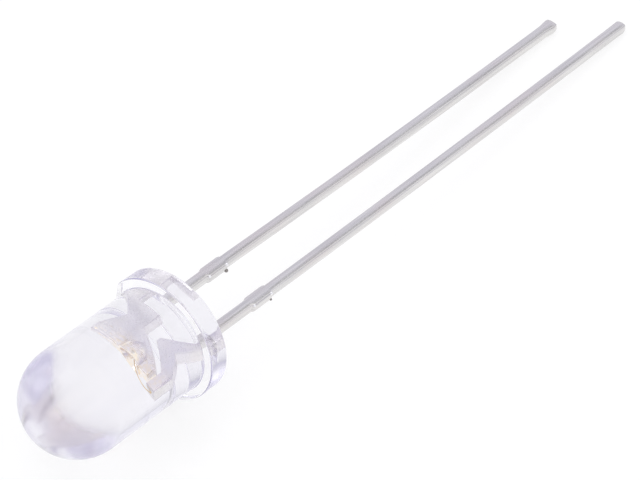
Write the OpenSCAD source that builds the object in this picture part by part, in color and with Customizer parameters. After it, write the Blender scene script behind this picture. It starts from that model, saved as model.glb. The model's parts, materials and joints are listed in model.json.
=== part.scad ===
// Round 5 mm through hole LED with a clear epoxy case.
// It is drawn upright, with the lens along +Z, the anode at +X and the seating face at z = 0,
// and then laid down as it comes to rest: on the rim of its flange and on both lead tips.

/* [Epoxy case] */
// Diameter of the cylinder and of the domed lens
body_d = 5.0; // [4.4:0.1:8]
// Height from the seating face to the top of the lens
case_h = 8.7; // [7.2:0.1:14]
// How far the flange stands out of the cylinder
flange_out = 0.45; // [0.25:0.05:1]
// Thickness of the flange
flange_h = 1.0; // [0.6:0.1:1.5]
// Radius on the edges of the flange
edge_r = 0.08; // [0.04:0.01:0.1]
// How far the flat on the flange's cathode side stays clear of the cylinder
flat_step = 0.04; // [0.02:0.01:0.1]
// Epoxy left between the lead frame and the outside of the cylinder
case_wall = 0.7; // [0.5:0.05:0.9]
// Height to which the resin creeps along each lead
creep_h = 0.16; // [0.08:0.01:0.4]
// Width of the ring of resin around each lead
creep_w = 0.2; // [0.1:0.01:0.3]

/* [Leads] */
// Width of a lead
lead_w = 0.45; // [0.36:0.01:0.6]
// Thickness of the sheet that both frames are stamped from
sheet_t = 0.45; // [0.36:0.01:0.6]
// Distance between the leads where they leave the case
pitch = 2.54; // [2.1:0.01:3.1]
// Distance between the leads at their tips
tip_pitch = 2.2; // [1.8:0.01:3.1]
// Length of the cathode lead below the seating face
cathode_len = 27.0; // [10:0.5:34]
// How much longer the anode lead is
anode_extra = 2.2; // [0.5:0.1:3]
// Depth below the seating face of the middle of the cut tie bar
tie_z = 3.9; // [3:0.1:6]
// Length of the tie bar's stub along the lead
tie_len = 1.2; // [0.6:0.1:2]
// How far the stub stands out of each side of the lead
tie_out = 0.09; // [0.03:0.01:0.2]

/* [Lead frame in the case] */
// Height of the anvil and its cup's rim above the seating face
anvil_z = 3.52; // [3.4:0.01:3.8]
// Height of the anode post above the seating face
post_z = 3.8; // [3.4:0.05:4.2]
// Height at which the posts start to lean inwards
foot_z = 0.55; // [0.4:0.05:0.7]
// Height of the lower edge of the cathode post's foot
heel_z = 0.9; // [0.8:0.05:1.1]
// Height of the necks of both posts
neck_z = 1.9; // [1.7:0.05:2]
// Distance from the axis to the inner side of the cathode post's neck
cathode_neck_in = 0.42; // [0.35:0.01:0.5]
// Width of the cathode post's neck
cathode_neck_w = 0.53; // [0.4:0.01:0.65]
// Distance from the axis to the inner side of the anode post's neck
anode_neck_in = 0.1; // [0.05:0.01:0.2]
// Width of the anode post's neck
anode_neck_w = 0.75; // [0.5:0.01:0.85]
// How far the anvil reaches beyond its head, towards the cathode side
anvil_out = 0.73; // [0.4:0.01:0.9]
// Height of the upright side of the anvil, next to the anode post
anvil_side_h = 0.5; // [0.3:0.05:0.7]
// Upright gap between the anvil and the anode post
post_gap = 0.25; // [0.15:0.01:0.35]
// Gap between the two slanted sides, measured along Z
slant_gap = 0.38; // [0.3:0.01:0.5]

/* [Reflector cup] */
// Depth of the cup
cup_depth = 0.4; // [0.3:0.01:0.5]
// How far each side of the cup leans outwards
cup_flare = 0.17; // [0.1:0.01:0.25]
// Width of the lip around the cup
cup_lip = 0.08; // [0.05:0.01:0.12]
// Height of the round head that holds the cup
head_h = 0.5; // [0.45:0.01:0.6]
// Height of the cone that joins the head to the sheet
head_cone_h = 0.5; // [0.3:0.05:0.6]
// Metal of the sheet between the head and the gap to the anode post
anvil_lip = 0.4; // [0.2:0.01:0.45]

/* [Chip and wire] */
// Side of the square chip
die_w = 0.24; // [0.2:0.01:0.32]
// Height of the chip
die_h = 0.15; // [0.1:0.01:0.2]
// Thickness of the adhesive under the chip
attach_t = 0.03; // [0.02:0.01:0.05]
// Adhesive that shows beyond the chip's corners
attach_margin = 0.04; // [0.02:0.01:0.06]
// Clear floor of the cup around the adhesive
floor_margin = 0.03; // [0.02:0.01:0.06]
// Diameter of the bond wire
wire_d = 0.03; // [0.02:0.005:0.04]
// Clearance of the wire's middle line over the metal edges it passes
wire_clear = 0.08; // [0.06:0.01:0.15]
// Diameter of the bond at each end of the wire
bond_d = 0.1; // [0.08:0.01:0.12]
// Height of the bond at each end of the wire
bond_h = 0.04; // [0.03:0.005:0.06]
// Distance from the anode post's inner side to the wire's bond
bond_inset = 0.28; // [0.1:0.01:0.35]

/* [Hidden] */
$fn = 96;
cut = 1; // how far a cutting solid runs past the surface it cuts

// Epoxy case
body_r = body_d / 2;
flange_r = body_r + flange_out;
dome_z = case_h - body_r;
creep_r = norm([lead_w, sheet_t]) / 2;

// Leads
lead_x = pitch / 2;
tip_x = tip_pitch / 2;
lean_z = tie_z + tie_len; // a lead runs straight to this depth, then leans towards the other
anode_len = cathode_len + anode_extra;

// Chip, cup and posts, from the chip outwards
attach_d = norm([die_w, die_w]) + 2 * attach_margin;
cup_floor_r = attach_d / 2 + floor_margin;
cup_rim_r = cup_floor_r + cup_flare;
head_r = cup_rim_r + cup_lip;
cup_floor_z = anvil_z - cup_depth;
die_z = cup_floor_z + attach_t;
anvil_in = head_r + anvil_lip;
anvil_side_z = anvil_z - anvil_side_h;
post_in = anvil_in + post_gap;
post_out = body_r - case_wall;
slant = (anvil_side_z - neck_z) / (anvil_in + cathode_neck_in);

// Bond wire: an arc between the bonds on the chip and on the anode post, just high enough for its
// clearance over the rim of the cup, the edge of the anvil and the edge of the post
wire_start = [0, die_z + die_h + bond_h / 2];
wire_end = [post_in + bond_inset, post_z + bond_h / 2];
wire_chord = wire_end - wire_start;
wire_slope = atan2(wire_chord.y, wire_chord.x);
wire_edges = [[cup_rim_r, anvil_z], [anvil_in, anvil_z], [post_in, post_z]];
wire_half_turn = max([for (edge = wire_edges) wire_turn(edge + [0, wire_clear])]);
wire_r = norm(wire_chord) / 2 / sin(wire_half_turn);
wire_drop = wire_r * cos(wire_half_turn);
wire_centre = (wire_start + wire_end) / 2 + wire_drop * [sin(wire_slope), -cos(wire_slope)];

// At rest the rim of the flange and both tips touch one plane. The longer lead turns the case a
// little about its own axis, until both tips are equally low.
skew = anode_extra / tip_pitch;
rest_drop = flange_r - sheet_t / 2;
rest_tilt = atan(rest_drop / (anode_len + edge_r - skew * (tip_x - lead_w / 2)));
rest_roll = asin(skew * tan(rest_tilt));

// Half the turn of the arc that starts and ends like the wire and runs through a point
function wire_turn(point) =
    atan2(point.y - wire_start.y, point.x) - atan2(wire_end.y - point.y, wire_end.x - point.x);

// Lays the upright LED down: lens towards -Y, leads towards +Y, cathode at -X
module at_rest() {
    rotate([90 - rest_tilt, 0, 0]) rotate([0, 0, rest_roll]) children();
}

// A plate of the sheet metal, with its outline drawn in X and Z
module stamped() {
    rotate([90, 0, 0]) linear_extrude(sheet_t, center = true) children();
}

// Corners of a lead, on the side given by its sign: down its inner edge and up its outer edge
function lead_points(side, length) = [
    [side * (lead_x - lead_w / 2), foot_z],
    [side * (lead_x - lead_w / 2), -lean_z],
    [side * (tip_x - lead_w / 2), -length],
    [side * (tip_x + lead_w / 2), -length],
    [side * (lead_x + lead_w / 2), -lean_z],
    [side * (lead_x + lead_w / 2), foot_z],
];

// Stub of the tie bar that held the leads in the strip
module tie_stub(side) {
    translate([side * lead_x, -tie_z]) square([lead_w + 2 * tie_out, tie_len], center = true);
}

// The cathode lead runs into a foot, a neck and an anvil
module cathode_outline() {
    polygon(concat(lead_points(-1, cathode_len), [
        [-cathode_neck_in - cathode_neck_w, neck_z],
        [-head_r - anvil_out, anvil_side_z],
        [-head_r - anvil_out, anvil_z],
        [anvil_in, anvil_z],
        [anvil_in, anvil_side_z],
        [-cathode_neck_in, neck_z],
        [-cathode_neck_in, heel_z],
        [-lead_x + lead_w / 2, heel_z],
    ]));
    tie_stub(-1);
}

// The anode lead runs into a neck under the anvil and a post beside it
module anode_outline() {
    elbow_z = neck_z - slant_gap / 2;
    polygon(concat(lead_points(1, anode_len), [
        [anode_neck_in + anode_neck_w, elbow_z],
        [post_out, anvil_side_z - slant_gap],
        [post_out, post_z],
        [post_in, post_z],
        [post_in, neck_z - slant_gap + slant * (post_in + cathode_neck_in)],
        [anode_neck_in, neck_z - slant_gap + slant * (anode_neck_in + cathode_neck_in)],
        [anode_neck_in, elbow_z],
    ]));
    tie_stub(1);
}

// The cathode's stamping: lead, post and anvil, with a coined head that holds the cup
module cathode_shape() {
    difference() {
        union() {
            stamped() cathode_outline();
            translate([0, 0, anvil_z - head_h]) cylinder(r = head_r, h = head_h);
            translate([0, 0, anvil_z - head_h - head_cone_h])
                cylinder(r1 = sheet_t / 2, r2 = head_r, h = head_cone_h);
        }
        translate([0, 0, cup_floor_z]) cylinder(r1 = cup_floor_r, r2 = cup_rim_r, h = cup_depth);
        translate([0, 0, anvil_z]) cylinder(r = cup_rim_r, h = cut);
    }
}

module die_attach_shape() {
    translate([0, 0, cup_floor_z]) cylinder(d = attach_d, h = attach_t);
}

module die_shape() {
    translate([-die_w / 2, -die_w / 2, die_z]) cube([die_w, die_w, die_h]);
}

// A flat round bond, standing on the metal under the wire's end
module bond(wire_point) {
    translate([wire_point.x, 0, wire_point.y - bond_h / 2]) cylinder(d = bond_d, h = bond_h);
}

module wire_shape() {
    translate([wire_centre.x, 0, wire_centre.y]) rotate([90, 0, 0])
        rotate([0, 0, 90 + wire_slope - wire_half_turn])
            rotate_extrude(angle = 2 * wire_half_turn) translate([wire_r, 0]) circle(d = wire_d);
    bond(wire_start);
    bond(wire_end);
}

// Half section of the flange, with its edges rounded
module flange_section() {
    square([flange_r - edge_r, flange_h]);
    translate([0, edge_r]) square([flange_r, flange_h - 2 * edge_r]);
    for (z = [edge_r, flange_h - edge_r]) translate([flange_r - edge_r, z]) circle(edge_r);
}

module flange() {
    flat_x = body_r + flat_step;
    difference() {
        rotate_extrude() flange_section();
        translate([-flat_x - flange_r, -flange_r - cut, -cut])
            cube([flange_r, 2 * (flange_r + cut), flange_h + 2 * cut]);
    }
}

// Half section of the cylinder with its domed end
module lens_section() {
    square([body_r, dome_z]);
    translate([0, dome_z]) intersection() {
        circle(body_r);
        square(body_r);
    }
}

// The ring of resin that creeps down one lead
module creep(side) {
    translate([side * lead_x, 0, -creep_h]) cylinder(r1 = creep_r, r2 = creep_r + creep_w, h = creep_h);
}

// The casting, moulded tight around everything in it
module epoxy_case() {
    color([0.93, 0.92, 0.97, 0.4]) difference() {
        union() {
            flange();
            rotate_extrude() lens_section();
            for (side = [-1, 1]) creep(side);
        }
        cathode_shape();
        stamped() anode_outline();
        die_attach_shape();
        die_shape();
        wire_shape();
    }
}

module cathode_frame() {
    color([0.80, 0.79, 0.78]) cathode_shape();
}

module anode_frame() {
    color([0.80, 0.79, 0.78]) stamped() anode_outline();
}

module die() {
    color([0.80, 0.58, 0.28]) die_shape();
}

module die_attach() {
    color([0.68, 0.67, 0.64]) die_attach_shape();
}

module bond_wire() {
    color([0.95, 0.75, 0.35]) wire_shape();
}

at_rest() epoxy_case();
at_rest() cathode_frame();
at_rest() anode_frame();
at_rest() die();
at_rest() die_attach();
at_rest() bond_wire();
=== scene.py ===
"""Looks of a round 5 mm through hole LED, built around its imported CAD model.

Shapes are made in the LED's own frame, in millimetres: origin at the centre of the flange's seating
face, lens along +Z, anode at +X. place() then puts them into the row's frame, in metres.
"""

import json
import math

import bmesh
import bpy
import numpy as np
from mathutils import Matrix, Vector


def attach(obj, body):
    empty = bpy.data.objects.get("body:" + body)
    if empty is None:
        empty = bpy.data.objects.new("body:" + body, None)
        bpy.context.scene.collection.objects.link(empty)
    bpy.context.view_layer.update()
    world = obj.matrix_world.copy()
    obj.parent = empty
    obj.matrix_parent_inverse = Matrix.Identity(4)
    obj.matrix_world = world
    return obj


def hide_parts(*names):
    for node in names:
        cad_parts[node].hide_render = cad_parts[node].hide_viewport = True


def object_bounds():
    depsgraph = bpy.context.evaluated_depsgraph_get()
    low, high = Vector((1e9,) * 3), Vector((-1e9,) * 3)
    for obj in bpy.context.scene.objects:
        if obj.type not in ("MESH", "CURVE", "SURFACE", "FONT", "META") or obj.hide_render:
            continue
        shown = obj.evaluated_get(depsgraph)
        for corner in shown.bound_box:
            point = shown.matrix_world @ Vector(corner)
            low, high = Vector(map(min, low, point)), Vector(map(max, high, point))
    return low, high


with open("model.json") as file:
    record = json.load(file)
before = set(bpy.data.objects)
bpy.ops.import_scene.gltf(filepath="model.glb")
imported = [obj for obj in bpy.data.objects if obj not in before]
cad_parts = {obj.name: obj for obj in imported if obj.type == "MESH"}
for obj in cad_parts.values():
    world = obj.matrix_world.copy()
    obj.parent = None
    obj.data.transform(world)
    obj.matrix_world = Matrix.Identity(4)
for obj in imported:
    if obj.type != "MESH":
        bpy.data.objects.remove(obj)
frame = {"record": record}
cad_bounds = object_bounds()
MOUNTS = {mount["name"]: mount for mount in frame["record"]["mounts"]}
MM = 0.001

# Light: a sky that is darker low down, with a lighter side and one soft dark patch, angles in degrees
SKY_LOW = (0.48, 0.46, 0.60)
SKY_MID = (0.76, 0.74, 0.83)
SKY_MID_Z = 0.3
SKY_HIGH = (0.98, 0.98, 0.98)
SKY_HIGH_Z = 0.65
SIDE_SKY = (0.80, 0.79, 0.87)
SIDE_WAY = Vector((-0.72, 0.60, 0.34)).normalized()
SIDE_IN = 22
SIDE_OUT = 55
PATCH_WAY = Vector((-0.18, 0.67, 0.72)).normalized()
PATCH_IN = 3
PATCH_OUT = 11
PATCH_LEVEL = 0.6
FLOOR_R = 1.5
FLOOR_EVEN = 0.65
FLOOR_LIGHT = 1.15
KEY_PLACE = Vector((-0.15, -0.05, 0.35))
KEY_SIZE = 0.25
KEY_POWER = 0.12
BOUNCES = 64

# Resin
EPOXY_IOR = 1.53
EPOXY_TINT = (0.84, 0.815, 0.97, 1)
EPOXY_DENSITY = 46
HAZE_Z = (4.4, 6.4)
HAZE_ROUGH = (0.03, 0.22)

# Metal, with the cathode's side as -1 and the anode's as 1
TIN_DARK = (0.66, 0.65, 0.65)
TIN_LIGHT = (0.79, 0.78, 0.77)
TIN_STAIN = (0.76, 0.69, 0.68)
SILVER_DARK = (0.93, 0.91, 0.94)
SILVER_LIGHT = (0.96, 0.93, 0.93)
# Warm tone on the head, partly the plating's own and partly a painted reflection of the amber chip; its
# light end is a painted golden glint
WARM_TONE_AND_REFLECTION = {-1: (0.99, 0.94, 0.89), 1: (0.99, 0.94, 0.90)}
PAINTED_GOLD_GLINT = {-1: (1.0, 0.91, 0.76), 1: (1.0, 0.93, 0.84)}
SHEARED = (0.78, 0.76, 0.77)
BARE_STEEL = (0.42, 0.38, 0.36)
# Light colour of two beads on each stub, a painted highlight
PAINTED_GLINT_BEAD = (0.97, 0.97, 0.98)
# Dark colour of one bead on each stub
DARK_BEAD = (0.34, 0.32, 0.30)
# Height band of the warm tone with its painted reflection and golden glints
WARM_AND_GLINT_Z = (2.5, 3.3)
COINED_Z = (2.7, 3.1)
DENTED_Z = (2.8, 3.2)
DENTS = 4

# Epoxy case
BODY_R = MOUNTS["cylinder"]["dims"]["r_mm"]
FLANGE_H = 1.0
DOME_Z = FLANGE_H + MOUNTS["cylinder"]["dims"]["length_mm"]
FLANGE_R = 2.95
FLAT_X = 2.54
EDGE_R = 0.08
FILLET_R = 0.06
CREEP_H = 0.16
CREEP_W = 0.3

# Leads
LEAD_X = Vector(MOUNTS["anode_lead"]["pos_m"]).length / MM
LEAD_W = 0.45
SHEET_T = 0.45
CATHODE_LEN = 27.0
ANODE_LEN = 29.2
TIP_X = 1.1
TIE_Z = 3.9
TIE_LEN = 1.2
LEAN_Z = TIE_Z + TIE_LEN

# Rounder shape of the leads, with the cathode's side as -1 and the anode's as 1
LEAD_TOP = 0.4
LEAD_HALF = 0.25
BULGE = math.radians(18)
LEAD_EDGE_R = 0.05
TIE_OUT = 0.09
TIE_RUN_OUT = 0.05
TIE_RAMP = 0.08
TIP_FLARE = {-1: 0.06, 1: 0.01}
FLARE_LEN = 0.75
FLARE_RAMP = 0.4
# Sideways bow, for the share of the leaning length and for its square
BOW = {-1: (0.2, -0.3), 1: (0.15, -0.2)}
# Rounded end of each lead, as inset and height above the tip
TIP_ROUNDING = [(0.01, 0.14), (0.03, 0.09), (0.06, 0.05), (0.11, 0.02)]
# Beads of tin on the stubs: x and y from the lead's middle, z, radius and colour; the bright colour is a
# painted highlight, the other is a plain dark colour
BEADS = {
    -1: [
        (0.30, 0.17, -3.34, 0.06, PAINTED_GLINT_BEAD),
        (0.30, 0.17, -4.43, 0.07, PAINTED_GLINT_BEAD),
        (0.31, -0.18, -4.42, 0.09, DARK_BEAD),
    ],
    1: [
        (0.30, 0.17, -3.34, 0.06, PAINTED_GLINT_BEAD),
        (0.30, 0.17, -4.43, 0.07, PAINTED_GLINT_BEAD),
        (0.30, -0.18, -4.42, 0.06, DARK_BEAD),
    ],
}

# Lead frame in the case
PLATE_LOW = 0.15
PLATE_EDGE_R = 0.04
ANVIL_Z = 3.52
POST_Z = 3.8
FOOT_Z = 0.55
HEEL_Z = 0.9
NECK_Z = 1.9
CATHODE_NECK_IN = 0.42
CATHODE_NECK_W = 0.53
ANODE_NECK_IN = 0.1
ANODE_NECK_W = 0.75
ANVIL_OUT = 0.73
ANVIL_SIDE_H = 0.5
POST_GAP = 0.25
SLANT_GAP = 0.38
CASE_WALL = 0.7

# Reflector cup, chip and wire
CUP_DEPTH = 0.4
CUP_FLOOR_R = 0.24
CUP_RIM_R = 0.41
HEAD_R = 0.49
HEAD_H = 0.5
HEAD_CONE_H = 0.5
ANVIL_LIP = 0.4
RIM_R = 0.03
CUT = 0.05  # how far a cutting solid runs past the surface it cuts
DIE_W = 0.24
DIE_H = 0.15
DIE_EDGE_R = 0.012
ATTACH_T = 0.03
ATTACH_R = 0.21
WIRE_R = 0.015
WIRE_CLEAR = 0.08
BOND_R = 0.05
BOND_H = 0.04
BOND_INSET = 0.28
BOND_TOP = 0.6  # share of the bond's radius at its top

# Sides of round shapes
CASE_SIDES = 192
HEAD_SIDES = 96
ATTACH_SIDES = 64
BOND_SIDES = 32
WIRE_SIDES = 12
WIRE_STEPS = 48

# Worked out from the sizes above
CUP_FLOOR_Z = ANVIL_Z - CUP_DEPTH
DIE_Z = CUP_FLOOR_Z + ATTACH_T
ANVIL_IN = HEAD_R + ANVIL_LIP
ANVIL_SIDE_Z = ANVIL_Z - ANVIL_SIDE_H
POST_IN = ANVIL_IN + POST_GAP
POST_OUT = BODY_R - CASE_WALL
SLANT = (ANVIL_SIDE_Z - NECK_Z) / (ANVIL_IN + CATHODE_NECK_IN)


def led_to_row():
    """Matrix from the LED's own frame, in millimetres, to the row's frame, in metres."""
    up = -Vector(MOUNTS["seat"]["axis"])
    across = Vector(MOUNTS["anode_lead"]["pos_m"]) - Vector(MOUNTS["cathode_lead"]["pos_m"])
    across.normalize()
    turn = Matrix((across, up.cross(across), up)).transposed().to_4x4()
    return Matrix.Translation(MOUNTS["seat"]["pos_m"]) @ turn @ Matrix.Scale(MM, 4)


LED = led_to_row()


# ---------------------------------------------------------------- mesh helpers

def new_object(name, bm):
    """Object from a bmesh, which is freed."""
    mesh = bpy.data.meshes.new(name)
    bm.to_mesh(mesh)
    bm.free()
    piece = bpy.data.objects.new(name, mesh)
    bpy.context.scene.collection.objects.link(piece)
    return piece


def apply_modifiers(piece):
    """Replaces a piece's mesh by its evaluated one."""
    graph = bpy.context.evaluated_depsgraph_get()
    mesh = bpy.data.meshes.new_from_object(piece.evaluated_get(graph))
    piece.modifiers.clear()
    piece.data = mesh


def boolean(piece, tool, operation):
    """Joins or cuts piece with tool, which is removed."""
    modifier = piece.modifiers.new("boolean", "BOOLEAN")
    modifier.operation = operation
    modifier.solver = "EXACT"
    modifier.object = tool
    apply_modifiers(piece)
    bpy.data.objects.remove(tool)


def smooth_by_angle(piece, degrees):
    """Smooth shading, except across edges sharper than the angle."""
    for face in piece.data.polygons:
        face.use_smooth = True
    piece.data.set_sharp_from_angle(angle=math.radians(degrees))


def place(piece, material, nodes):
    """Puts a piece made in the LED's frame into the row, gives it its material and hides the CAD parts
    that it stands for.
    """
    piece.data.transform(LED)
    piece.data.materials.clear()
    piece.data.materials.append(material)
    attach(piece, "root")
    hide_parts(*nodes)


def lathe(profile, segments, limit=None):
    """Surface of revolution about Z of a profile of (radius, z), its ends on the axis.

    limit(angle, radius, z) may pull a point in, as a flat does.
    """
    bm = bmesh.new()
    rings = []
    for radius, z in profile:
        if radius == 0:
            rings.append([bm.verts.new((0, 0, z))])
            continue
        ring = []
        for step in range(segments):
            angle = 2 * math.pi * step / segments
            r = limit(angle, radius, z) if limit else radius
            ring.append(bm.verts.new((r * math.cos(angle), r * math.sin(angle), z)))
        rings.append(ring)
    for low, high in zip(rings, rings[1:]):
        for step in range(segments):
            after = (step + 1) % segments
            corners = [low[step % len(low)], low[after % len(low)]]
            corners += [high[after % len(high)], high[step % len(high)]]
            bm.faces.new(list(dict.fromkeys(corners)))
    bmesh.ops.recalc_face_normals(bm, faces=bm.faces)
    return bm


def arc(centre, radius, start, end, steps):
    """Points on an arc, with angles in degrees."""
    angles = [math.radians(start + (end - start) * step / steps) for step in range(steps + 1)]
    return [(centre[0] + radius * math.cos(a), centre[1] + radius * math.sin(a)) for a in angles]


def sweep(rings):
    """Closed tube through rings of points of equal length."""
    bm = bmesh.new()
    made = [[bm.verts.new(point) for point in ring] for ring in rings]
    count = len(made[0])
    for low, high in zip(made, made[1:]):
        for step in range(count):
            after = (step + 1) % count
            bm.faces.new((low[step], low[after], high[after], high[step]))
    bm.faces.new(made[0])
    bm.faces.new(made[-1])
    bmesh.ops.recalc_face_normals(bm, faces=bm.faces)
    return bm


def plate(outline, thickness, rounding):
    """Stamped plate with an outline of (x, z), its rims rounded."""
    bm = bmesh.new()
    front = bm.faces.new([bm.verts.new((x, thickness / 2, z)) for x, z in outline])
    made = bmesh.ops.extrude_face_region(bm, geom=[front])["geom"]
    back = [item for item in made if isinstance(item, bmesh.types.BMVert)]
    bmesh.ops.translate(bm, verts=back, vec=(0, -thickness, 0))
    bmesh.ops.recalc_face_normals(bm, faces=bm.faces)
    rims = [edge for edge in bm.edges if abs(edge.verts[0].co.y - edge.verts[1].co.y) < thickness / 2]
    bmesh.ops.bevel(bm, geom=rims, offset=rounding, segments=4, profile=0.5, affect="EDGES")
    return bm


# ---------------------------------------------------------------- epoxy case

def flat_limit(angle, radius, z):
    """Radius at an angle once the flat on the cathode side has cut the flange."""
    reach = -math.cos(angle)
    if reach <= 0 or z > FLANGE_H or radius <= BODY_R:
        return radius
    edge = min(FLANGE_R, FLAT_X / reach)
    return radius - (FLANGE_R - edge)


def creep(x, y):
    """Height of the resin that wets the leads, below the seating face."""
    height = 0
    for lead in (-LEAD_X, LEAD_X):
        across = max(abs(x - lead) - LEAD_W / 2, 0)
        along = max(abs(y) - SHEET_T / 2, 0)
        away = math.hypot(across, along)
        height = max(height, CREEP_H * max(1 - away / CREEP_W, 0) ** 2)
    return height


def make_case(material):
    """The casting: seating face, flange with its flat, cylinder and dome."""
    # Close rings across the seating face, for the resin that wets the leads
    profile = [((FLANGE_R - EDGE_R) * step / 60, 0) for step in range(60)]
    profile += arc((FLANGE_R - EDGE_R, EDGE_R), EDGE_R, -90, 0, 6)
    profile += arc((FLANGE_R - EDGE_R, FLANGE_H - EDGE_R), EDGE_R, 0, 90, 6)
    profile += arc((BODY_R + FILLET_R, FLANGE_H + FILLET_R), FILLET_R, 270, 180, 6)
    profile += [(BODY_R, FLANGE_H + (DOME_Z - FLANGE_H) * step / 12) for step in range(1, 12)]
    profile += arc((0, DOME_Z), BODY_R, 0, 90, 48)[:-1]
    profile += [(0, DOME_Z + BODY_R)]
    bm = lathe(profile, CASE_SIDES, flat_limit)
    for vert in bm.verts:
        if vert.co.z == 0:
            vert.co.z = -creep(vert.co.x, vert.co.y)
    case = new_object("clear_case", bm)
    smooth_by_angle(case, 35)
    place(case, material, ["epoxy_case"])


# ---------------------------------------------------------------- lead frame

def quarter():
    """Corner of the lead's section, as a share of its half width: from one bulged face to the next."""
    half = LEAD_HALF
    reach = (half - LEAD_EDGE_R) / (1 + math.sin(BULGE) - math.cos(BULGE))
    face = reach + LEAD_EDGE_R
    turns = [BULGE * step / 6 for step in range(7)]
    points = [(half - face + face * math.cos(turn), face * math.sin(turn)) for turn in turns]
    corner = reach * math.sin(BULGE)
    turns = [BULGE + (math.pi / 2 - 2 * BULGE) * step / 5 for step in range(1, 5)]
    edge = LEAD_EDGE_R
    points += [(corner + edge * math.cos(turn), corner + edge * math.sin(turn)) for turn in turns]
    points += [(y, x) for x, y in reversed(points[:7])]
    return [(x / half, y / half) for x, y in points]


QUARTER = quarter()


def section(centre, half_x, half_y, z):
    """Ring of the lead's section, with bulged faces and round corners."""
    ring = []
    for side_x, side_y in ((1, 1), (-1, 1), (-1, -1), (1, -1)):
        points = QUARTER if side_x == side_y else QUARTER[::-1]
        ring += [(centre + side_x * x * half_x, side_y * y * half_y, z) for x, y in points[:-1]]
    return ring


def lead_centre(side, length, z):
    """Where the lead's middle line is at a height, on the side given by its sign."""
    if z > -LEAN_Z:
        return side * LEAD_X
    share = (-LEAN_Z - z) / (length - LEAN_Z)
    return side * (LEAD_X + (TIP_X - LEAD_X) * share) + BOW[side][0] * share + BOW[side][1] * share ** 2


def bead_place(side, x, y, z):
    """Middle of a bead on the lead, in the LED's frame."""
    return Vector((side * LEAD_X + x, y, z))


def share_in(depth, ramp):
    """0 outside a zone and 1 inside it, past a ramp, for a depth in the zone."""
    return max(0.0, min(1.0, depth / ramp))


def make_lead(side, length):
    """One lead from inside the case to its tip, with the stub of its tie bar and beads of tin on it."""
    stub_high = -TIE_Z + TIE_LEN / 2
    stub_low = -TIE_Z - TIE_LEN / 2
    heights = list(np.linspace(LEAD_TOP, stub_high + TIE_RUN_OUT, 24))
    heights += list(np.linspace(stub_high, stub_low, 16))
    heights += list(np.linspace(stub_low - TIE_RUN_OUT, 0.2 - length, 120))
    rings = []
    for z in heights:
        stub = share_in(TIE_LEN / 2 + TIE_RUN_OUT - abs(z + TIE_Z), TIE_RAMP)
        flare = share_in(FLARE_LEN - length - z, FLARE_RAMP)
        half = LEAD_HALF + TIE_OUT * stub + TIP_FLARE[side] * flare
        rings.append(section(lead_centre(side, length, z), half, LEAD_HALF, z))
    for inset, height in TIP_ROUNDING:
        z = height - length
        half = LEAD_HALF + TIP_FLARE[side] - inset
        rings.append(section(lead_centre(side, length, z), half, LEAD_HALF - inset, z))
    piece = new_object("lead", sweep(rings))
    for x, y, z, radius, _ in BEADS[side]:
        bm = bmesh.new()
        where = Matrix.Translation(bead_place(side, x, y, z))
        bmesh.ops.create_icosphere(bm, subdivisions=3, radius=radius, matrix=where)
        boolean(piece, new_object("bead", bm), "UNION")
    return piece


def cathode_outline():
    """Foot, neck and anvil of the cathode's stamping, as (x, z)."""
    half = LEAD_W / 2
    return [
        (-LEAD_X - half, PLATE_LOW), (-LEAD_X - half, FOOT_Z),
        (-CATHODE_NECK_IN - CATHODE_NECK_W, NECK_Z),
        (-HEAD_R - ANVIL_OUT, ANVIL_SIDE_Z), (-HEAD_R - ANVIL_OUT, ANVIL_Z),
        (ANVIL_IN, ANVIL_Z), (ANVIL_IN, ANVIL_SIDE_Z),
        (-CATHODE_NECK_IN, NECK_Z), (-CATHODE_NECK_IN, HEEL_Z),
        (-LEAD_X + half, HEEL_Z), (-LEAD_X + half, PLATE_LOW),
    ]


def anode_outline():
    """Neck and post of the anode's stamping, as (x, z)."""
    half = LEAD_W / 2
    elbow = NECK_Z - SLANT_GAP / 2
    return [
        (LEAD_X + half, PLATE_LOW), (LEAD_X + half, FOOT_Z),
        (ANODE_NECK_IN + ANODE_NECK_W, elbow),
        (POST_OUT, ANVIL_SIDE_Z - SLANT_GAP), (POST_OUT, POST_Z), (POST_IN, POST_Z),
        (POST_IN, NECK_Z - SLANT_GAP + SLANT * (POST_IN + CATHODE_NECK_IN)),
        (ANODE_NECK_IN, NECK_Z - SLANT_GAP + SLANT * (ANODE_NECK_IN + CATHODE_NECK_IN)),
        (ANODE_NECK_IN, elbow), (LEAD_X - half, FOOT_Z), (LEAD_X - half, PLATE_LOW),
    ]


def make_cathode(material):
    """Cathode lead, post and anvil, with the coined head and its reflector cup."""
    piece = new_object("cathode_lead_frame", plate(cathode_outline(), SHEET_T, PLATE_EDGE_R))
    low = ANVIL_Z - HEAD_H - HEAD_CONE_H
    head = [(0, low), (SHEET_T / 2, low), (HEAD_R, ANVIL_Z - HEAD_H)]
    head += arc((HEAD_R - RIM_R, ANVIL_Z - RIM_R), RIM_R, 0, 90, 4) + [(0, ANVIL_Z)]
    cup = [(0, CUP_FLOOR_Z), (CUP_FLOOR_R, CUP_FLOOR_Z), (CUP_RIM_R, ANVIL_Z)]
    cup += [(CUP_RIM_R + RIM_R, ANVIL_Z + CUT), (0, ANVIL_Z + CUT)]
    boolean(piece, new_object("head", lathe(head, HEAD_SIDES)), "UNION")
    boolean(piece, new_object("cup", lathe(cup, HEAD_SIDES)), "DIFFERENCE")
    boolean(piece, make_lead(-1, CATHODE_LEN), "UNION")
    smooth_by_angle(piece, 30)
    place(piece, material, ["cathode_frame"])


def make_anode(material):
    """Anode lead and its post."""
    piece = new_object("anode_lead_frame", plate(anode_outline(), SHEET_T, PLATE_EDGE_R))
    boolean(piece, make_lead(1, ANODE_LEN), "UNION")
    smooth_by_angle(piece, 30)
    place(piece, material, ["anode_frame"])


# ---------------------------------------------------------------- chip and wire

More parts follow.
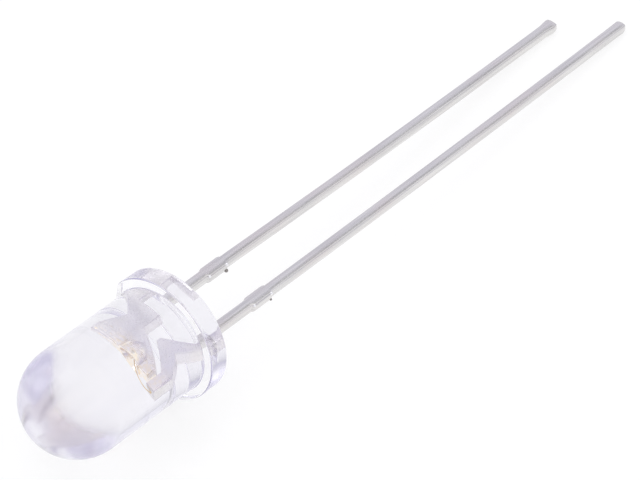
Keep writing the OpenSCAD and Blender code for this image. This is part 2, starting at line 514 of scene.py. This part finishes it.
def make_die(material):
    """The chip, a block with its edges broken."""
    bm = bmesh.new()
    bmesh.ops.create_cube(bm, size=1)
    bmesh.ops.scale(bm, verts=bm.verts, vec=(DIE_W, DIE_W, DIE_H))
    bmesh.ops.translate(bm, verts=bm.verts, vec=(0, 0, DIE_Z + DIE_H / 2))
    bmesh.ops.bevel(bm, geom=bm.edges, offset=DIE_EDGE_R, segments=2, affect="EDGES")
    piece = new_object("chip", bm)
    place(piece, material, ["die"])


def make_attach(material):
    """The adhesive, a thin round layer that runs out in a fillet."""
    low = CUP_FLOOR_Z
    profile = [(0, low), (ATTACH_R, low)]
    profile += arc((ATTACH_R - ATTACH_T, low), ATTACH_T, 0, 90, 5)[1:]
    profile += [(0, DIE_Z)]
    piece = new_object("chip_adhesive", lathe(profile, ATTACH_SIDES))
    smooth_by_angle(piece, 40)
    place(piece, material, ["die_attach"])


def wire_turn(point, start, end):
    """Half the turn of the arc from start to end that runs through a point."""
    rise = point - start
    fall = end - point
    return math.atan2(rise.z, rise.x) - math.atan2(fall.z, fall.x)


def make_wire(material):
    """Bond wire, an arc from the chip to the anode post, with a ball and a wedge."""
    start = Vector((0, 0, DIE_Z + DIE_H + BOND_H / 2))
    end = Vector((POST_IN + BOND_INSET, 0, POST_Z + BOND_H / 2))
    edges = [(CUP_RIM_R, ANVIL_Z), (ANVIL_IN, ANVIL_Z), (POST_IN, POST_Z)]
    half = max(wire_turn(Vector((x, 0, z + WIRE_CLEAR)), start, end) for x, z in edges)
    chord = end - start
    radius = chord.length / 2 / math.sin(half)
    across = chord.normalized()
    up = Vector((-across.z, 0, across.x))
    centre = (start + end) / 2 - up * radius * math.cos(half)
    rings = []
    for step in range(WIRE_STEPS + 1):
        turn = -half + 2 * half * step / WIRE_STEPS
        out = across * math.sin(turn) + up * math.cos(turn)
        ring = []
        for side in range(WIRE_SIDES):
            angle = 2 * math.pi * side / WIRE_SIDES
            middle = centre + out * (radius + WIRE_R * math.cos(angle))
            ring.append(middle + Vector((0, WIRE_R * math.sin(angle), 0)))
        rings.append(ring)
    piece = new_object("gold_bond_wire", sweep(rings))
    for point in (start, end):
        ball = [(0, point.z - BOND_H / 2), (BOND_R, point.z - BOND_H / 2), (BOND_R, point.z)]
        ball += [(BOND_R * BOND_TOP, point.z + BOND_H / 2), (0, point.z + BOND_H / 2)]
        bm = lathe(ball, BOND_SIDES)
        bmesh.ops.translate(bm, verts=bm.verts, vec=(point.x, 0, 0))
        boolean(piece, new_object("bond", bm), "UNION")
    smooth_by_angle(piece, 40)
    place(piece, material, ["bond_wire"])


# ---------------------------------------------------------------- materials

def add(tree, kind, settings, inputs):
    """New shader node with its settings, and its inputs as values or as sockets to link."""
    made = tree.nodes.new("ShaderNode" + kind)
    for name, value in settings.items():
        setattr(made, name, value)
    for name, value in inputs.items():
        if isinstance(value, bpy.types.NodeSocket):
            tree.links.new(value, made.inputs[name])
        else:
            made.inputs[name].default_value = value
    return made


def new_material(name):
    """Material with a Principled shader on its surface output."""
    material = bpy.data.materials.new(name)
    material.use_nodes = True
    tree = material.node_tree
    tree.nodes.clear()
    shader = add(tree, "BsdfPrincipled", {}, {})
    add(tree, "OutputMaterial", {}, {"Surface": shader.outputs["BSDF"]})
    return material, tree, shader


def led_place(tree):
    """Coordinates in the LED's own frame, in millimetres."""
    back = LED.inverted()
    where = add(tree, "TexCoord", {}, {})
    return add(tree, "Mapping", {"vector_type": "POINT"}, {
        "Vector": where.outputs["Object"],
        "Location": back.to_translation(),
        "Rotation": back.to_euler(),
        "Scale": back.to_scale(),
    }).outputs["Vector"]


def noise(tree, spot, stretch, detail=3):
    """Noise over coordinates that are first multiplied by stretch, in waves per millimetre."""
    scaled = add(tree, "VectorMath", {"operation": "MULTIPLY"}, {0: spot, 1: stretch}).outputs["Vector"]
    return add(tree, "TexNoise", {}, {"Vector": scaled, "Scale": 1, "Detail": detail}).outputs["Fac"]


def spread(tree, value, low, high, start=0.35, end=0.65):
    """Value from start to end as a number from low to high."""
    return add(tree, "MapRange", {}, {
        "Value": value, "From Min": start, "From Max": end, "To Min": low, "To Max": high,
    }).outputs["Result"]


def calc(tree, operation, first, second=0):
    """Value of a Math node."""
    return add(tree, "Math", {"operation": operation}, {0: first, 1: second}).outputs["Value"]


def dot(tree, first, second):
    """Dot product of two vectors."""
    vectors = {0: first, 1: second}
    return add(tree, "VectorMath", {"operation": "DOT_PRODUCT"}, vectors).outputs["Value"]


def mix(tree, share, first, second):
    """Colour between two others."""
    made = tree.nodes.new("ShaderNodeMix")
    made.data_type = "RGBA"
    for slot, value in ((0, share), (6, first), (7, second)):
        if isinstance(value, bpy.types.NodeSocket):
            tree.links.new(value, made.inputs[slot])
        elif slot == 0:
            made.inputs[slot].default_value = value
        else:
            made.inputs[slot].default_value = (*value, 1)
    return made.outputs[2]


def bump(tree, shader, height, distance):
    """Bump of a height in millimetres on the shader."""
    made = add(tree, "Bump", {}, {"Height": height, "Distance": distance * MM})
    tree.links.new(made.outputs["Normal"], shader.inputs["Normal"])


def epoxy_material():
    """Clear epoxy with a faint violet cast, the slow waves of a cast surface and a hazier dome."""
    material, tree, shader = new_material("clear_epoxy")
    shader.inputs["Base Color"].default_value = (1, 1, 1, 1)
    shader.inputs["Transmission Weight"].default_value = 1
    shader.inputs["IOR"].default_value = EPOXY_IOR
    spot = led_place(tree)
    height = add(tree, "SeparateXYZ", {}, {"Vector": spot}).outputs["Z"]
    haze = add(tree, "MapRange", {"interpolation_type": "SMOOTHSTEP"}, {
        "Value": height, "From Min": HAZE_Z[0], "From Max": HAZE_Z[1],
        "To Min": HAZE_ROUGH[0], "To Max": HAZE_ROUGH[1],
    }).outputs["Result"]
    uneven = spread(tree, noise(tree, spot, (3, 3, 3)), 0.8, 1.2)
    tree.links.new(calc(tree, "MULTIPLY", haze, uneven), shader.inputs["Roughness"])
    bump(tree, shader, noise(tree, spot, (0.9, 0.9, 0.5), 2), 0.001)
    tint = add(tree, "VolumeAbsorption", {}, {"Color": EPOXY_TINT, "Density": EPOXY_DENSITY})
    tree.links.new(tint.outputs["Volume"], tree.nodes["Material Output"].inputs["Volume"])
    return material


def sheared(tree, across):
    """Share of dull metal: the cut edges of the sheet on the anode's post."""
    normal = add(tree, "TexCoord", {}, {}).outputs["Normal"]
    sheet_way = (LED.to_3x3() @ Vector((0, 1, 0))).normalized()
    facing = calc(tree, "ABSOLUTE", dot(tree, normal, sheet_way))
    edge = spread(tree, facing, 0.9, 0, 0.3, 0.7)
    return calc(tree, "MULTIPLY", edge, spread(tree, across, 0, 1, ANVIL_IN, POST_IN))


def glint_and_coined_share(tree, spot, across):
    """Share of the head that gets the painted golden glints and, in its coined band, a smoother finish:
    little left of the head, but for flecks.
    """
    beside = spread(tree, across, 0.1, 1, -HEAD_R - 0.35, -HEAD_R)
    flecks = spread(tree, noise(tree, spot, (5, 5, 5), 2), 0, 1, 0.57, 0.64)
    return calc(tree, "MAXIMUM", beside, flecks)


def frame_material(name, side, length):
    """Drawn, tinned steel outside the case, silver plated inside it, bare where the tip was cut. On the
    head, a warm tone, partly the plating's own and partly a painted reflection of the amber chip, with
    painted golden glints; the bright beads carry a painted highlight.
    """
    material, tree, shader = new_material(name)
    spot = led_place(tree)
    parts = add(tree, "SeparateXYZ", {}, {"Vector": spot}).outputs
    across = parts["X"]
    height = parts["Z"]
    streaks = noise(tree, spot, (9, 9, 0.3), 4)
    blotches = noise(tree, spot, (1.2, 1.2, 0.5))
    grain = noise(tree, spot, (22, 22, 22), 2)
    dents_and_glints = noise(tree, spot, (6, 6, 6), 2)
    glint_and_coined = glint_and_coined_share(tree, spot, across)

    tin = mix(tree, spread(tree, streaks, 0, 1), TIN_DARK, TIN_LIGHT)
    tin = mix(tree, spread(tree, blotches, 0, 0.4, 0.45, 0.7), tin, TIN_STAIN)
    silver = mix(tree, spread(tree, blotches, 0, 1), SILVER_DARK, SILVER_LIGHT)
    # Painted golden glints and warm reflection on the head, gold where the dent noise peaks
    warm_and_glint = mix(tree, spread(tree, dents_and_glints, 0, 1, 0.42, 0.6), WARM_TONE_AND_REFLECTION[side], PAINTED_GOLD_GLINT[side])
    warm_and_glint = mix(tree, sheared(tree, across), warm_and_glint, SHEARED)
    silver = mix(tree, calc(tree, "MULTIPLY", spread(tree, height, 0, 1, *WARM_AND_GLINT_Z), glint_and_coined), silver, warm_and_glint)
    colour = mix(tree, spread(tree, height, 0, 1, -0.1, 0.1), tin, silver)
    cut = spread(tree, height, 1, 0, 0.05 - length, 0.12 - length)
    colour = mix(tree, cut, colour, BARE_STEEL)
    # Bead colours: a painted highlight on the bright beads, a plain dark colour on the other
    for x, y, z, radius, bead in BEADS[side]:
        middle = tuple(bead_place(side, x, y, z))
        away = add(tree, "VectorMath", {"operation": "DISTANCE"}, {0: spot, 1: middle}).outputs["Value"]
        colour = mix(tree, spread(tree, away, 1, 0, radius, radius * 1.2), colour, bead)
    tree.links.new(colour, shader.inputs["Base Color"])
    shader.inputs["Metallic"].default_value = 1

    inside = spread(tree, height, 0, 0.12, -0.1, 0.1)
    coined = calc(tree, "MULTIPLY", spread(tree, height, 0, 0.2, *COINED_Z), glint_and_coined)
    rough = calc(tree, "ADD", spread(tree, grain, 0.14, 0.28), inside)
    tree.links.new(calc(tree, "SUBTRACT", rough, coined), shader.inputs["Roughness"])
    dented = calc(tree, "MULTIPLY", dents_and_glints, spread(tree, height, 0, DENTS, *DENTED_Z))
    relief = calc(tree, "ADD", calc(tree, "ADD", streaks, grain), dented)
    bump(tree, shader, relief, 0.0025)
    return material


def chip_material():
    """Amber semiconductor: sawn, matt sides and a polished top."""
    material, tree, shader = new_material("chip")
    saw = noise(tree, led_place(tree), (4, 4, 60), 2)
    amber = mix(tree, spread(tree, saw, 0, 1), (0.62, 0.36, 0.10), (0.86, 0.60, 0.24))
    tree.links.new(amber, shader.inputs["Base Color"])
    tree.links.new(spread(tree, saw, 0.15, 0.35), shader.inputs["Roughness"])
    bump(tree, shader, saw, 0.002)
    return material


def adhesive_material():
    """Silver filled adhesive: bright flakes in a dull binder."""
    material, tree, shader = new_material("silver_adhesive")
    flakes = noise(tree, led_place(tree), (40, 40, 40), 4)
    filled = mix(tree, spread(tree, flakes, 0, 1), (0.50, 0.48, 0.44), (0.86, 0.84, 0.80))
    tree.links.new(filled, shader.inputs["Base Color"])
    shader.inputs["Metallic"].default_value = 0.7
    tree.links.new(spread(tree, flakes, 0.55, 0.3), shader.inputs["Roughness"])
    bump(tree, shader, flakes, 0.004)
    return material


def gold_material():
    """Drawn gold, a little duller here and there."""
    material, tree, shader = new_material("gold")
    lines = noise(tree, led_place(tree), (30, 30, 30))
    gold = mix(tree, spread(tree, lines, 0, 1), (0.90, 0.62, 0.24), (1.0, 0.80, 0.42))
    tree.links.new(gold, shader.inputs["Base Color"])
    shader.inputs["Metallic"].default_value = 1
    tree.links.new(spread(tree, lines, 0.15, 0.3), shader.inputs["Roughness"])
    bump(tree, shader, lines, 0.001)
    return material


# ---------------------------------------------------------------- stage, light and camera

def make_floor():
    """Pale satin floor, whose look is partly even light, so that it shows white with a soft shadow.

    At a flat angle it mirrors the low sky.
    """
    bm = bmesh.new()
    bmesh.ops.create_circle(bm, cap_ends=True, radius=FLOOR_R, segments=96)
    bmesh.ops.translate(bm, verts=bm.verts, vec=(0, 0, cad_bounds[0][2]))
    floor = new_object("floor", bm)
    material, tree, shader = new_material("floor")
    paper = noise(tree, led_place(tree), (1.5, 1.5, 1.5), 4)
    tree.links.new(mix(tree, paper, (0.89, 0.89, 0.89), (0.91, 0.91, 0.91)), shader.inputs["Base Color"])
    shader.inputs["Roughness"].default_value = 0.9
    path = add(tree, "LightPath", {}, {})
    seen = path.outputs["Is Camera Ray"]
    for kind in ("Is Glossy Ray", "Is Transmission Ray"):
        seen = calc(tree, "MAXIMUM", seen, path.outputs[kind])
    share = calc(tree, "MULTIPLY", seen, FLOOR_EVEN)
    even = add(tree, "Emission", {}, {"Strength": FLOOR_LIGHT}).outputs["Emission"]
    matt = add(tree, "MixShader", {}, {0: share, 1: shader.outputs["BSDF"], 2: even}).outputs["Shader"]
    mirror = add(tree, "BsdfGlossy", {}, {"Roughness": 0.2}).outputs["BSDF"]
    slant = add(tree, "Fresnel", {}, {"IOR": 1.45}).outputs["Fac"]
    satin = add(tree, "MixShader", {}, {0: slant, 1: matt, 2: mirror}).outputs["Shader"]
    tree.links.new(satin, tree.nodes["Material Output"].inputs["Surface"])
    floor.data.materials.append(material)


def near(tree, way, middle, inner, outer):
    """1 within an angle of a direction, and 0 beyond a wider one, in degrees."""
    return add(tree, "MapRange", {"interpolation_type": "SMOOTHSTEP"}, {
        "Value": dot(tree, way, middle),
        "From Min": math.cos(math.radians(outer)),
        "From Max": math.cos(math.radians(inner)),
    }).outputs["Result"]


def make_world():
    """Soft sky, darker low down but for one side, with one soft dark patch behind the LED."""
    world = bpy.data.worlds.new("studio")
    bpy.context.scene.world = world
    world.use_nodes = True
    tree = world.node_tree
    way = add(tree, "TexCoord", {}, {}).outputs["Generated"]
    up = add(tree, "SeparateXYZ", {}, {"Vector": way}).outputs["Z"]
    low = mix(tree, spread(tree, up, 0, 1, 0, SKY_MID_Z), SKY_LOW, SKY_MID)
    sky = mix(tree, spread(tree, up, 0, 1, SKY_MID_Z, SKY_HIGH_Z), low, SKY_HIGH)
    sky = mix(tree, near(tree, way, SIDE_WAY, SIDE_IN, SIDE_OUT), sky, SIDE_SKY)
    patch = spread(tree, near(tree, way, PATCH_WAY, PATCH_IN, PATCH_OUT), 1, PATCH_LEVEL, 0, 1)
    back = tree.nodes["Background"]
    tree.links.new(sky, back.inputs["Color"])
    tree.links.new(patch, back.inputs["Strength"])


def make_key():
    """One large soft key light from the left, above."""
    key = bpy.data.lights.new("key", "AREA")
    key.shape = "DISK"
    key.size = KEY_SIZE
    key.energy = KEY_POWER
    lamp = bpy.data.objects.new("key", key)
    bpy.context.scene.collection.objects.link(lamp)
    lamp.location = KEY_PLACE
    lamp.rotation_euler = (-KEY_PLACE).to_track_quat("-Z", "Y").to_euler()


def make_camera():
    """Camera at the photograph's angle, looking at a point by the flange."""
    azimuth = math.radians(35.513)
    elevation = math.radians(50.031)
    roll = math.radians(7.797)
    aim = Vector((2.520, 6.076, 2.919)) * MM
    distance = 276.3 * MM
    level = math.cos(elevation)
    forward = Vector((-math.sin(azimuth) * level, math.cos(azimuth) * level, -math.sin(elevation)))
    data = bpy.data.cameras.new("camera")
    data.lens = 366.87
    data.sensor_width = 36
    data.clip_start = 0.001
    camera = bpy.data.objects.new("camera", data)
    bpy.context.scene.collection.objects.link(camera)
    camera.location = aim - forward * distance
    camera.rotation_mode = "QUATERNION"
    tilt = Matrix.Rotation(roll, 4, "Z").to_quaternion()
    camera.rotation_quaternion = forward.to_track_quat("-Z", "Y") @ tilt
    bpy.context.scene.camera = camera


def set_bounces(scene):
    """Lets light pass on through the many inner reflections of a clear body."""
    scene.cycles.max_bounces = BOUNCES
    scene.cycles.glossy_bounces = BOUNCES
    scene.cycles.transmission_bounces = BOUNCES


def main():
    """Builds the stage and then the six pieces."""
    scene = bpy.context.scene
    scene.view_settings.view_transform = "Standard"
    set_bounces(scene)
    make_camera()
    make_world()
    make_key()
    make_floor()
    make_case(epoxy_material())
    make_cathode(frame_material("tinned_cathode", -1, CATHODE_LEN))
    make_anode(frame_material("tinned_anode", 1, ANODE_LEN))
    make_die(chip_material())
    make_attach(adhesive_material())
    make_wire(gold_material())


main()
